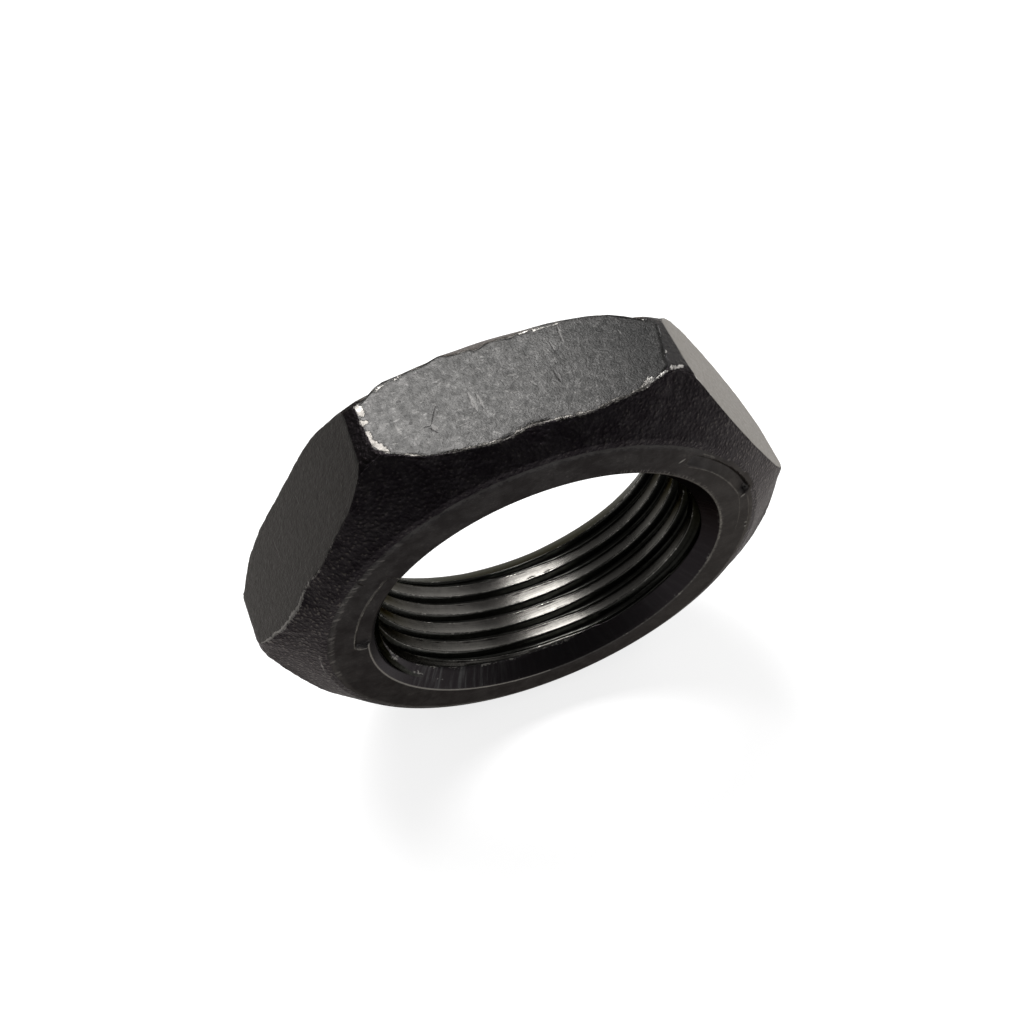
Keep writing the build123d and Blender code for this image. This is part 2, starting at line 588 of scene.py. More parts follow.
# Scratch: a straight scuff between two spots, thinning out towards its ends
takes = ("Place", "From", "To", "Width")
scratch, inside, outside = start_group("Scratch", takes, ("Mask",))
run = vector_step("SUBTRACT", inside["To"], inside["From"])
reach = vector_step("SUBTRACT", inside["Place"], inside["From"])
along = vector_step("DOT_PRODUCT", reach, run, "Value")
length = vector_step("DOT_PRODUCT", run, run, "Value")
share = put("ShaderNodeClamp", {0: divided(along, length)}).outputs[0]
gap = vector_step("DISTANCE", reach, scaled(run, share), "Value")
taper = times(times(share, minus(1.0, share)), 4.0)
width = times(inside["Width"], times_plus(taper, 0.8, 0.2))
feed(outside["Mask"], fade(divided(gap, width), 0.1, 1.6, 1.0, 0.0))


def scratches(spot, marks):
    """One mask for several scuffs, each given as from, to and half width."""
    feeds = [{"Place": spot, "From": start, "To": end, "Width": width}
             for start, end, width in marks]
    return reduce(higher, [use_group(scratch, one)["Mask"] for one in feeds])


def steel_finish(name):
    """A bare metal material: its sockets, a spot's place on the nut, and the wear there."""
    material = bpy.data.materials.new(name)
    material.use_nodes = True
    nodes = material.node_tree.nodes
    shader = nodes["Principled BSDF"].inputs
    feed(shader["Metallic"], 1.0)
    rings, wear = nodes.new("ShaderNodeGroup"), nodes.new("ShaderNodeAttribute")
    rings.node_tree, wear.attribute_name = nut_rings, "edge_wear"
    return material, shader, rings.outputs, wear.outputs["Fac"]


def blacked(spot, dark, pale, fleck, fleck_amount, patch_size):
    """The oxide's colour, and the share of the paler tone in it."""
    made = use_group(oxide, {"Place": spot, "Dark": dark, "Pale": pale, "Fleck": fleck,
                             "Fleck Amount": fleck_amount, "Patch Size": patch_size})
    return made["Color"], made["Tone"]


def worn_through(spot, wear, start):
    """Where the oxide is gone. A low start bares more of the metal."""
    return use_group(edge_wear, {"Place": spot, "Wear": wear, "Start": start})["Bare"]


def dress(shader, colour, rough, tint, height, relief):
    """Gives a steel its colour, roughness, tint and fine relief, the last in millimetres."""
    feeds = {"Height": height, "Distance": relief * MM, "Strength": 1.0}
    bump = put("ShaderNodeBump", feeds).outputs[0]
    looks = {"Base Color": colour, "Roughness": rough, "Specular Tint": tint, "Normal": bump}
    for socket, value in looks.items():
        feed(shader[socket], value)


# Worn edges shine dimly where they face the lamp. Where the lamp would catch them aslant, they are
# painted paler, as a painted highlight
bare_facing, painted_glint_on_bare = (0.085, 0.08, 0.074), (0.6, 0.58, 0.55)


def bare_colour_with_glint(at_depth, at_turn):
    """Rubbed steel, with a painted highlight that makes it paler along the back edges and on both
    sides.
    """
    glint_share = higher(fade(at_depth, 7.2, 8.2, 0.0, 0.2), fade(at_turn, 20.0, 30.0))
    glint_share = higher(glint_share, fade(at_turn, -52.0, -38.0, 0.17, 0.0))
    return between(glint_share, bare_facing, painted_glint_on_bare)


# Milled flats: even and fine-grained, with a few scuffs that have gone through the oxide. The
# left flat's shade and the right flat's reflection of the bright panel are painted into the colour
milled_flats, shader, (spot, at_radius, at_depth, at_turn), wear = steel_finish("milled_flats")
oxide_colour, tone = blacked(spot, (0.029, 0.0285, 0.0278), (0.044, 0.043, 0.042),
                             (0.075, 0.073, 0.07), 0.6, 0.6)
bare = worn_through(spot, wear, 0.46)
pale_scuffs = scratches(spot, on_top_flat([
    (-3.5, 0.1, -3.4, -1.6, 0.17),
    (-2.98, -0.1, -2.9, -1.5, 0.13),
    (-9.1, -0.6, -8.9, -1.7, 0.13),
    (-6.75, -1.55, -6.45, -2.1, 0.19),
    (4.55, 3.7, 4.4, 2.0, 0.12),
    (3.5, 2.6, 3.55, 1.6, 0.07),
    (8.55, 1.7, 8.6, 1.2, 0.08),
    (-5.2, -2.35, -3.9, -2.2, 0.07),
    (-0.6, 0.6, 0.5, 0.5, 0.09),
    (-0.9, -0.9, -0.1, -1.0, 0.09),
    (0.9, -0.4, 1.3, -1.0, 0.08),
]) + [
    ((-16.95, 2.3, 32.14), (-16.88, 1.2, 32.26), 0.08),
    ((-19.62, 2.1, 27.52), (-19.5, 0.6, 27.72), 0.09),
])
dark_scuffs = scratches(spot, on_top_flat([
    (-5.95, -0.1, -6.7, -1.5, 0.05),
    (-7.3, -1.6, -6.8, -1.6, 0.05),
    (-6.95, -1.75, -6.5, -2.35, 0.05),
    (2.85, -0.1, 2.95, -1.3, 0.12),
    (-8.4, 1.2, -8.1, 1.1, 0.1),
    (-8.1, -0.95, -7.9, -0.9, 0.12),
]))
streaks = grain(as_place(times(at_turn, 0.16), at_depth), 0.3, 4.0, 0.65)
spots = fade(grain(spot, 0.42, 2.0, 0.5), 0.66, 0.74)
off_left, off_right = away_from(at_turn, -60.0), away_from(at_turn, 60.0)
specks = fade(grain(spot, 0.13, 3.0, 0.6), 0.44, 0.64)
soot, dark_streak_and_shade = (0.014, 0.013, 0.013), (0.016, 0.016, 0.016)
colour = painted(oxide_colour, [
    (fade(streaks, 0.56, 0.72, 0.0, 0.55), 1, (0.095, 0.092, 0.089)),
    (fade(streaks, 0.3, 0.42, 0.45, 0.0), 1, dark_streak_and_shade),
    # Painted shade: the top flat darkens towards its right end
    (fade(at_turn, 10.0, 27.0, 0.0, 0.5), 1, dark_streak_and_shade),
    (spots, 0.4, soot),
    (pale_scuffs, 0.4, (0.085, 0.082, 0.079)),
    (dark_scuffs, 0.4, soot),
    # Painted shade: the left flat is darkened
    (fade(off_left, 26.0, 31.0, 0.9, 0.0), 1, (0.0085, 0.008, 0.0085)),
    # Painted reflection: the right flat is paler where it would mirror the bright panel, broken by
    # darker specks
    (fade(off_right, 26.0, 31.0, 0.7, 0.0), 1, (0.165, 0.15, 0.124)),
    (times(specks, fade(off_right, 26.0, 31.0, 0.5, 0.0)), 1, (0.055, 0.05, 0.044)),
    (bare, 1, bare_colour_with_glint(at_depth, at_turn)),
])
rough = fade(grain(spot, 0.34, 3.0, 0.6), 0.3, 0.7, 0.41, 0.33)
height = times_plus(grain(spot, 0.16, 3.0, 0.6), 0.8, times(grain(spot, 0.55, 2.0), 0.7))
for mask, lift in ((pale_scuffs, -0.25), (dark_scuffs, -0.4), (streaks, 0.5), (bare, -0.6)):
    height = times_plus(mask, lift, height)
dress(shader, colour, times_plus(bare, -0.06, rough), (0.91, 0.88, 0.85), height, 0.028)

# Forged cones and strips: pebbled by the scale that the hammer drove in and the blasting took out
forged_cones, shader, (spot, at_radius, at_depth, at_turn), wear = steel_finish("forged_cones")
oxide_colour, tone = blacked(spot, (0.016, 0.013, 0.0155), (0.028, 0.0245, 0.027),
                             (0.075, 0.068, 0.06), 0.35, 1.3)
bare = worn_through(spot, wear, 0.62)
cells = put("ShaderNodeTexVoronoi", {"Vector": spot, "Scale": 1 / 0.3}, feature="SMOOTH_F1")
pebble = times_plus(cells.outputs["Distance"], -0.9, grain(spot, 0.22, 2.0, 0.5))
tops = fade(pebble, 0.24, 0.42)
off_top = sum_up("ABSOLUTE", at_turn)
on_back = times(fade(at_depth, 7.5, 9.0), fade(at_radius, 17.9, 18.6))
cracks = scratches(spot, [
    ((19.1, -4.78, 28.35), (19.32, -4.95, 27.25), 0.07),
    ((19.32, -4.95, 27.25), (18.75, -5.6, 26.6), 0.07),
    ((-14.75, -5.8, 32.2), (-14.35, -6.05, 31.35), 0.1),
])
# Painted light: the cones are paler towards the right side
painted_light_toward_right = times(fade(at_turn, 15.0, 75.0, 0.0, 0.35), fade(at_turn, 130.0, 175.0, 1.0, 0.0))
# Painted shade: the cones darken towards the bottom
painted_shade_toward_bottom = higher(fade(at_turn, -128.0, -98.0, 0.6, 0.0),
                       fade(at_turn, 150.0, 178.0, 0.0, 0.6))
on_upper_strips = times(fade(at_radius, 22.9, 23.2), fade(off_top, 38.0, 44.0, 0.8, 0.0))
strip_colour = between(fade(at_turn, -20.0, 25.0),
                       (0.007, 0.0058, 0.0062), (0.05, 0.05, 0.05))
colour = painted(oxide_colour, [
    # Pebble tops painted paler: partly rubbed scale, partly a painted glint that is weaker on the
    # top cone
    (tops, fade(off_top, 30.0, 60.0, 0.25, 0.85), (0.075, 0.067, 0.06)),
    (on_back, 0.7, (0.085, 0.075, 0.064)),
    (cracks, 0.8, (0.006, 0.005, 0.005)),
    (painted_light_toward_right, 1, (0.06, 0.057, 0.058)),
    (painted_shade_toward_bottom, 1, (0.005, 0.004, 0.004)),
    (on_upper_strips, 1, strip_colour),
    (bare, 1, bare_colour_with_glint(at_depth, at_turn)),
])
rough = fade(tops, 0.0, 1.0, 0.5, 0.36)
dress(shader, colour, rough, (0.87, 0.83, 0.81), times_plus(cracks, -0.8, pebble), 0.08)


# WASHER FACE
# A low seat round the front of the hole, turned smooth in the lathe and blacked with the rest. A
# sloping shoulder takes it down to the cone, and two curved marks are pressed into it.

washer_radius = 18.15
mouth_size, mouth_off_right, mouth_off_up = 15.4, 0.16, -0.19
rim = 0.12

mark_centre_across, mark_centre_up = 1.25, -0.65
mark_circle = 17.05
mark_half_width = 1.15 / 2
mark_half_length = 9.75 / 2
mark_depth = 0.46
mark_corner = 0.5
mark_turns = [52.5, -67.5]


def mouth_radius(turn):
    """Radius of the countersink's mouth, which is cut a little off the nut's centre."""
    angle = np.radians(turn)
    return mouth_size + mouth_off_right * np.sin(angle) + mouth_off_up * np.cos(angle)


def from_mark_centre(radius, turn):
    """A spot's distance and turn as seen from the marks' own centre."""
    across = radius * np.sin(np.radians(turn)) - mark_centre_across
    up = radius * np.cos(np.radians(turn)) - mark_centre_up
    return np.hypot(across, up), np.degrees(np.arctan2(across, up))


def mark_edge_distance(radius, turn):
    """How far a spot on the washer face lies outside the nearest mark; negative inside it."""
    circle, angle = from_mark_centre(radius, turn)
    nearest = np.full(np.shape(circle), far_off)
    for middle in mark_turns:
        along = np.radians(np.abs(turned_from(angle, middle))) * mark_circle
        past_end = along - mark_half_length + mark_corner
        past_side = np.abs(circle - mark_circle) - mark_half_width + mark_corner
        outside = np.hypot(np.maximum(past_end, 0), np.maximum(past_side, 0))
        inside = np.minimum(np.maximum(past_end, past_side), 0)
        nearest = np.minimum(nearest, outside + inside - mark_corner)
    return nearest


def pressed(radius, turn):
    """Depth of the marks and of the lip round them. The right one was struck at a tilt."""
    distance = mark_edge_distance(radius, turn)
    beyond = from_mark_centre(radius, turn)[0] - mark_circle
    on_right = np.sin(np.radians(turn)) > 0
    lean = np.where(on_right & (beyond > 0), 0.42, 0.13)
    tilted = np.clip((beyond + mark_half_width) / 0.85, 0.12, 1) ** 0.8
    floor_depth = mark_depth * np.where(on_right, tilted, 0.6)
    lip = 0.035 * bell(distance - 0.1, 0.09)
    return floor_depth * ease((0.01 - distance) / lean, 0, 1) - lip


def mark_ring_radius(circle, turn):
    """Radius on the nut of a circle drawn round the marks' own centre."""
    offset = math.hypot(mark_centre_across, mark_centre_up)
    swing = np.radians(turn) - math.atan2(mark_centre_across, mark_centre_up)
    return offset * np.cos(swing) + np.sqrt(circle**2 - (offset * np.sin(swing)) ** 2)


mouth_ring = mouth_radius(even_turn)
mouth_drop = np.maximum(pressed(mouth_ring + 0.05, even_turn), 0)
mouth = as_row(mouth_ring - mouth_drop, mouth_drop)
down_countersink = mouth + np.array([-1.0, 1.0])
over_face = mouth + np.array([1.0, 0.0])
mouth_bend = rounded(down_countersink, mouth, over_face, np.full(columns, rim), 4)
washer_edge = as_row(washer_radius, 0)
washer_bend = rounded(as_row(washer_radius - 1, 0), washer_edge, foot, np.full(columns, rim), 4)

inner_wall, outer_wall = mark_circle - mark_half_width, mark_circle + mark_half_width
near_inner = [inner_wall + step for step in (-0.28, -0.16, -0.07, 0.0, 0.06, 0.13)]
across_floor = [inner_wall + 0.32, outer_wall - 0.52]
near_outer = [outer_wall + step for step in (-0.36, -0.25, -0.14, -0.06, 0.0, 0.07, 0.16, 0.28)]
ring_circles = near_inner + across_floor + near_outer
guides = np.array([mark_ring_radius(circle, even_turn) for circle in ring_circles])
low_limit, high_limit = mouth_ring + 0.13, washer_radius - 0.13
plain_inner = np.array([[0.33], [0.67]]) * (guides[0] - low_limit) + low_limit
plain_outer = np.array([[0.33], [0.67]]) * (high_limit - guides[-1]) + guides[-1]
face_radius = np.concatenate([plain_inner, guides, plain_outer])
order = np.arange(len(face_radius))[:, None]
face_radius = np.clip(face_radius, low_limit + 0.006 * order, high_limit - 0.006 * order[::-1])

washer_rows = list(mouth_bend)
washer_rows += [as_row(ring, pressed(ring, even_turn)) for ring in face_radius]
shoulder_rows = list(washer_bend)
for share in (0.07, 0.13, 0.2, 0.3, 0.6, 0.88, 1.0):
    shoulder_rows.append(washer_bend[-1] + (foot - washer_bend[-1]) * share)
for row in shoulder_rows:
    pressed_depth = pressed(row[:, 0], even_turn)
    washer_rows.append(as_row(row[:, 0], np.maximum(row[:, 1], pressed_depth)))
radius, depth = np.moveaxis(np.array(washer_rows), -1, 0)
turn = np.broadcast_to(even_turn, radius.shape)
washer_places = place_on_nut(radius, depth, turn)

# Bare lines on the mouth's right side and on the left side of the outer edge, and a painted
# highlight along the lit wall of each mark, all carried as wear
right_side, left_side = near_turn(turn, 72, 44), near_turn(turn, -70, 30)
mouth_line = (0.33 + 0.15 * right_side) * bell(radius - mouth_ring, 0.1)
outer_line = (0.08 + 0.12 * left_side) * bell(radius - washer_radius, 0.12)
beyond = from_mark_centre(radius, turn)[0] - mark_circle
lit_wall = np.where(np.sin(np.radians(turn)) < 0, beyond > 0, beyond < 0)
# Painted highlight along the lit wall of each mark
mark_wall_glint = bell(mark_edge_distance(radius, turn) - 0.05, 0.08)
mark_wall_glint = mark_wall_glint * (0.08 + lit_wall * (0.17 + 0.3 * left_side))
washer_wear_and_glint = np.maximum.reduce([mouth_line, outer_line, mark_wall_glint])

washer_numbers = add_rows(washer_places, washer_wear_and_glint)
turned_shoulder_rows = 3
forged_from = len(mouth_bend) + len(face_radius) + len(washer_bend) + turned_shoulder_rows
beside_marks = mark_edge_distance(radius, turn) < 0.25


def washer_finish(row, spot):
    """The lathe has only touched the ring and its edge; the slope outside keeps its pebbles."""
    return FORGED if row >= forged_from and not beside_marks[row, spot] else TURNED


skin(washer_numbers, washer_finish)

# Tool lines: fine uneven ridges left by a cutting edge, along any one measure of the nut
takes = ("Along", "Spacing", "Place")
tool_lines, inside, outside = start_group("Tool lines", takes, ("Height",))
count = as_place(divided(inside["Along"], inside["Spacing"]))
strength = times_plus(grain(inside["Place"], 0.5, 3.0), 0.8, 0.6)
feed(outside["Height"], times(grain(count, 1.0, 3.0, 0.7), strength))

# Chatter: short slanting ticks across an edge, between two turns of the nut
takes = ("Radius", "Turn", "Ring", "Reach", "Count", "Slant", "Middle", "Span")
chatter, inside, outside = start_group("Chatter", takes, ("Mask",))
off_ring = minus(inside["Radius"], inside["Ring"])
off_middle = away_from(inside["Turn"], inside["Middle"])
window = fade(divided(off_middle, inside["Span"]), 0.75, 1.0, 1.0, 0.0)
one_radian = 57.3
ticks_round = times(inside["Turn"], divided(inside["Count"], one_radian))
ticks_round = times_plus(off_ring, inside["Slant"], ticks_round)
ticks = fade(grain(as_place(ticks_round, times(off_ring, 0.6)), 1.0, 3.0), 0.52, 0.58)
off_ring_size = divided(sum_up("ABSOLUTE", off_ring), inside["Reach"])
ticks = times(ticks, fade(off_ring_size, 0.4, 1.1, 1.0, 0.0))
feed(outside["Mask"], times(ticks, window))

# Ring line: a thin ragged line that runs round the nut from one turn and radius to another
run_labels = ("From Turn", "To Turn", "From Radius", "To Radius", "Half Width")
takes = ("Place", "Radius", "Turn", *run_labels)
ring_line, inside, outside = start_group("Ring line", takes, ("Mask",))
turned_by = minus(inside["Turn"], inside["From Turn"])
whole_turn = minus(inside["To Turn"], inside["From Turn"])
along = divided(turned_by, whole_turn)
growth = minus(inside["To Radius"], inside["From Radius"])
off_ring = away_from(inside["Radius"], times_plus(growth, along, inside["From Radius"]))
ragged = fade(grain(inside["Place"], 0.45, 3.0, 0.6), 0.35, 0.65, 0.15, 1.0)
width = times(inside["Half Width"], ragged)
across_line = fade(divided(off_ring, width), 0.5, 1.4, 1.0, 0.0)
feed(outside["Mask"], times(across_line, fade(away_from(along, 0.5), 0.42, 0.53, 1.0, 0.0)))


def ring_lines(spot, at_radius, at_turn, runs):
    """One mask for several lines, each given as from turn, to turn, radii and half width."""
    feeds = {"Place": spot, "Radius": at_radius, "Turn": at_turn}
    return reduce(higher, [
        use_group(ring_line, feeds | dict(zip(run_labels, run)))["Mask"] for run in runs])


def across_ring(marks):
    """Scuffs on the washer face, given as radius and turn at both ends, and half width."""
    return [(place_on_nut(radius, 0.0, turn).tolist(),
             place_on_nut(end_radius, 0.0, end_turn).tolist(), width)
            for radius, turn, end_radius, end_turn, width in marks]


# Turned faces: faint rings from the lathe, the small knocks that the seat has taken, painted
# highlights along the mouth and the marks, and painted shade along the right mark's outer wall
turned_faces, shader, (spot, at_radius, at_depth, at_turn), wear = steel_finish("turned_faces")
oxide_colour, tone = blacked(spot, (0.022, 0.0202, 0.0208), (0.034, 0.032, 0.0325),
                             (0.085, 0.08, 0.075), 0.35, 1.4)
bare = worn_through(spot, wear, 0.4)
feeds = {"Radius": at_radius, "Turn": at_turn, "Slant": 1.2}
mouth_ticks = {"Ring": 15.5, "Reach": 0.28, "Count": 70.0, "Middle": 70.0, "Span": 55.0}
edge_ticks = {"Ring": 18.2, "Reach": 0.3, "Count": 34.0, "Middle": -69.0, "Span": 34.0}
ticks = higher(*[use_group(chatter, feeds | where)["Mask"] for where in (mouth_ticks, edge_ticks)])
# Pale lines along the mouth and the mark edges: partly worn edges, partly painted highlights
pale_lines_and_glints = ring_lines(spot, at_radius, at_turn, [
    (74.0, 112.0, 18.08, 18.1, 0.06),
    (72.0, 92.0, 17.4, 17.05, 0.06),
    (28.0, 112.0, 15.35, 15.63, 0.16),
    (43.0, 52.0, 16.6, 16.98, 0.07),
    (52.0, 73.0, 16.98, 17.42, 0.08),
    (43.5, 48.5, 18.22, 18.25, 0.12),
    (-85.0, -51.0, 16.36, 16.42, 0.08),
])
# Pale knocks, and painted highlights at the ends of the marks
pale_knocks_and_glints = scratches(spot, across_ring([
    (16.75, 38.9, 17.35, 39.6, 0.1),
    (17.5, 74.3, 17.95, 73.6, 0.1),
    (18.05, 89.2, 17.85, 89.6, 0.12),
    (18.1, 91.4, 17.9, 91.6, 0.12),
    (15.2, -50.6, 15.65, -49.8, 0.12),
    (15.25, -86.6, 16.1, -86.4, 0.07),
]))
# Dark knocks, and the painted shade of the dark wedge at the right mark's lower end
dark_knocks_and_shade = scratches(spot, across_ring([
    (18.55, -53.0, 17.75, -53.7, 0.1),
    (18.1, 90.4, 17.85, 90.5, 0.1),
    (18.5, 71.8, 17.6, 72.9, 0.24),
]))
# Painted shade along the outer wall of the right mark
painted_shade_under_outer_wall = ring_lines(spot, at_radius, at_turn, [(42.5, 74.0, 17.88, 18.52, 0.15)])
dark_knocks_and_shade = higher(dark_knocks_and_shade, painted_shade_under_outer_wall)
shoulder_band = ring_lines(spot, at_radius, at_turn, [
    (-40.0, 42.0, 18.34, 18.34, 0.26),
    (-108.0, -36.0, 18.2, 18.2, 0.3),
])
mouth_at_left = times(fade(at_turn, -60.0, 0.0, 1.0, 0.0), fade(at_radius, 15.5, 15.7, 1.0, 0.0))
rubbed_colour = between(mouth_at_left, (0.095, 0.089, 0.082), (0.4, 0.375, 0.34))
# Painted light: the turned faces are paler towards the right side
painted_light_toward_right = times(fade(at_turn, 20.0, 60.0, 0.0, 0.4), fade(at_turn, 130.0, 175.0, 1.0, 0.0))
colour = painted(oxide_colour, [
    (shoulder_band, 0.26, (0.09, 0.085, 0.08)),
    # The wear here also carries the painted highlight along the marks' lit walls
    (fade(wear, 0.12, 0.34, 0.0, 0.55), 1, rubbed_colour),
    (painted_light_toward_right, 1, (0.06, 0.056, 0.053)),
    (ticks, 0.6, (0.15, 0.14, 0.13)),
    (pale_lines_and_glints, 0.4, (0.15, 0.14, 0.125)),
    (pale_knocks_and_glints, 0.7, (0.26, 0.25, 0.23)),
    (dark_knocks_and_shade, 0.85, (0.006, 0.005, 0.005)),
    (bare, 0.65, (0.24, 0.225, 0.2)),
])
lathe = use_group(tool_lines, {"Along": at_radius, "Spacing": 0.1, "Place": spot})["Height"]
height = times_plus(lathe, 0.5, times(grain(spot, 0.25, 3.0, 0.6), 0.6))
height = times_plus(dark_knocks_and_shade, -2.0, times_plus(ticks, 1.0, height))
rough = fade(tone, 0.0, 1.0, 0.42, 0.34)
dress(shader, colour, rough, (0.56, 0.54, 0.52), height, 0.016)


# THREADED HOLE
# A right-hand thread, 2 mm from crest to crest, is cut through the bored hole, and a 90 degree
# countersink leads into it at each end. Its flat crests keep the fine lines of the cutting.

pitch = 2.0
crest_radius = 14.0
groove_radius = 14.74
crest_half_width = 0.56
first_crest_depth = 0.42
flank_rise = 1 / math.tan(math.radians(30))
back_mouth_radius = 15.8
thread_columns = columns // 2
every_second = np.arange(0, columns, 2)
thread_turn = np.arange(thread_columns + 1) * 360.0 / thread_columns

# Rows behind the middle of each crest, with two on each of its edges
rows_of_pitch = [0.0, 0.25, 0.45, 0.52, 0.57, 0.67, 0.85, 1.0,
                 1.15, 1.33, 1.43, 1.48, 1.55, 1.75]
rows_in_pitch = len(rows_of_pitch)
crest_number = np.repeat(np.arange(-2, 7), rows_in_pitch)[:, None]
row_share = np.tile(rows_of_pitch, 9)[:, None]
turn = np.broadcast_to(thread_turn, (len(row_share), thread_columns + 1))
behind_crest = row_share <= pitch / 2
from_crest = np.minimum(row_share, pitch - row_share)

# The crests are narrow at the lower right, where the tap bit deeper, and one is chipped in front
bitten = ease(turn, 70, 100) * (1 - ease(turn, 150, 176))
chipped = np.where(crest_number == 0, near_turn(turn, 182, 20), 0)
half_width = crest_half_width - np.where(behind_crest, 0.4 * bitten, 0.2 * chipped)
on_crest = from_crest / crest_half_width * half_width
past_crest = (from_crest - crest_half_width) / (pitch / 2 - crest_half_width)
past_crest = half_width + past_crest * (pitch / 2 - half_width)
away = np.where(from_crest <= crest_half_width, on_crest, past_crest)
along_pitch = np.where(behind_crest, away, pitch - away)
depth = first_crest_depth + pitch * (crest_number + turn / 360) + along_pitch

# The crest's ends against the countersinks are kept crisp by moving the nearest rows onto them
front_crest_end = mouth_radius(thread_turn) - crest_radius
back_crest_end = thickness - (back_mouth_radius - crest_radius) + 0 * thread_turn
for line_depth in (front_crest_end, back_crest_end):
    nearest = np.argmin(np.abs(depth - line_depth), axis=0)
    depth[nearest, np.arange(thread_columns + 1)] = line_depth
helix_start = mouth_radius(thread_turn) - groove_radius - 0.06
depth = np.clip(depth, helix_start, thickness)

# Small burrs of torn metal, as turn, depth and height
burrs = [(167.0, 8.72, 0.16), (174.0, 8.8, 0.16), (166.4, 10.74, 0.14), (176.0, 10.76, 0.09),
         (88.0, 4.7, 0.12), (93.0, 5.1, 0.14), (98.0, 5.6, 0.1), (205.0, 8.95, 0.08)]
places = place_on_nut(np.full(depth.shape, crest_radius), depth, turn)
ragged = ease(lumps(places, 0.7, 41), -0.1, 0.6)
from_thread = crest_radius + np.maximum(away - half_width, 0) * flank_rise
from_thread = np.minimum(from_thread, groove_radius)
from_thread -= bell(from_crest - 0.52, 0.05) * (0.01 + 0.035 * ragged)
for burr_turn, burr_depth, height in burrs:
    burr = bell(turn - burr_turn, 0.9) * bell(depth - burr_depth, 0.16)
    from_thread = from_thread - height * burr
front_cone = mouth_radius(turn) - depth
back_flare = rim - np.sqrt(rim**2 - np.clip(depth - (thickness - rim), 0, rim) ** 2)
back_cone = back_mouth_radius - (thickness - depth) + back_flare
from_cone = np.maximum(front_cone, back_cone)
radius = np.maximum(from_thread, from_cone)
thread_places = place_on_nut(radius, depth, turn)

crest_line = bell(from_crest - 0.53, 0.05) * (from_thread >= from_cone - 0.02)
crest_line = crest_line * np.where(behind_crest, 0.34, 0.62)
cone_line = 0.42 * bell(from_thread - from_cone, 0.06)
thread_wear = np.maximum(crest_line, cone_line)

# After one turn each row carries on as the row one pitch further back
one_pitch_on = np.minimum(np.arange(len(row_share)) + rows_in_pitch, len(row_share) - 1)
thread_places[:, -1] = thread_places[one_pitch_on, 0]
thread_wear[:, -1] = thread_wear[one_pitch_on, 0]

# Plain rows of the front countersink join the mouth, which has twice as many columns
lead_turn = even_turn[every_second]
mouth_start = mouth_bend[0][every_second]
lead_rows = []
for share in (0.4, 0.75):
    row_depth = mouth_start[:, 1] + (helix_start[:-1] - mouth_start[:, 1]) * share
    row_radius = mouth_start[:, 0] - (row_depth - mouth_start[:, 1])
    lead_rows.append(place_on_nut(row_radius, row_depth, lead_turn))
lead_rows = np.array(lead_rows)


def join_twice_as_many(few, many, finish):
    """Covers the gap between a row and one that has twice as many columns."""
    for j in range(thread_columns):
        few_a, few_b = few[j], few[(j + 1) % len(few)]
        many_a, many_m, many_b = many[2 * j], many[2 * j + 1], many[(2 * j + 2) % columns]
        nut_faces.extend([(few_a, many_m, many_a), (few_a, few_b, many_m),
                          (few_b, many_b, many_m)])
        nut_face_finish.extend([finish] * 3)


thread_numbers = add_rows(thread_places, thread_wear)
lead_numbers = add_rows(lead_rows, np.zeros(lead_rows.shape[:2]))
skin(thread_numbers[::-1], lambda row, spot: CUT, closed=False)
skin(lead_numbers[::-1], lambda row, spot: CUT)
join_twice_as_many(lead_numbers[0], washer_numbers[0], CUT)
first_crest = thread_numbers[0]
for j in range(thread_columns):
    k = (j + 1) % thread_columns
    nut_faces.append((first_crest[j], first_crest[j + 1], lead_numbers[1, k], lead_numbers[1, j]))
    nut_face_finish.append(CUT)

# Cut thread: bright lines along the crests, oxide in the grooves and over the countersinks. Painted
# shade darkens both sides of the hole, and the front countersink is painted paler on the left
cut_thread, shader, (spot, at_radius, at_depth, at_turn), wear = steel_finish("cut_thread")
bare = worn_through(spot, wear, 0.38)
angle = sum_up("RADIANS", at_turn)
mouth_here = times_plus(sum_up("SINE", angle), mouth_off_right, mouth_size)
mouth_here = times_plus(sum_up("COSINE", angle), mouth_off_up, mouth_here)
on_front = fade(away_from(sum_up("ADD", at_radius, at_depth), mouth_here), 0.03, 0.07, 1.0, 0.0)
off_back = away_from(minus(at_radius, at_depth), back_mouth_radius - thickness)
on_back = times(fade(off_back, 0.03, 0.07, 1.0, 0.0), fade(at_depth, 10.6, 10.7))
in_groove = fade(at_radius, crest_radius + 0.03, crest_radius + 0.1)
at_right = times(fade(at_turn, 105.0, 165.0, 0.93, 0.0), fade(at_turn, 0.0, 30.0))
at_left = times(fade(at_turn, -130.0, -102.0, 0.0, 0.88), fade(at_turn, -30.0, 0.0, 1.0, 0.0))
in_shade = higher(at_left, at_right)
shade_colour = (0.006, 0.006, 0.005)
cut = use_group(tool_lines, {"Along": at_depth, "Spacing": 0.1, "Place": spot})["Height"]

# A painted highlight makes the front half of each crest paler on the lower part of the hole. The
# half is found by the share of a pitch
half_on = times_plus(at_turn, -1.0 / 360.0, 0.5 - first_crest_depth / pitch)
across_crest = sum_up("FRACT", times_plus(at_depth, 1.0 / pitch, half_on))
crest_lit = fade(sum_up("ABSOLUTE", at_turn), 80.0, 115.0)
crest_colour = between(fade(cut, 0.35, 0.65), (0.04, 0.038, 0.0355), (0.064, 0.061, 0.056))
crest_colour = painted(crest_colour, [
    (in_shade, 0.85, shade_colour),
    (fade(across_crest, 0.25, 0.6, 0.48, 0.0), crest_lit, (0.15, 0.144, 0.134)),
])
groove_colour = between(fade(cut, 0.4, 0.7), (0.034, 0.034, 0.031), (0.07, 0.071, 0.064))
groove_colour = painted(groove_colour, [(in_shade, 0.9, shade_colour)])

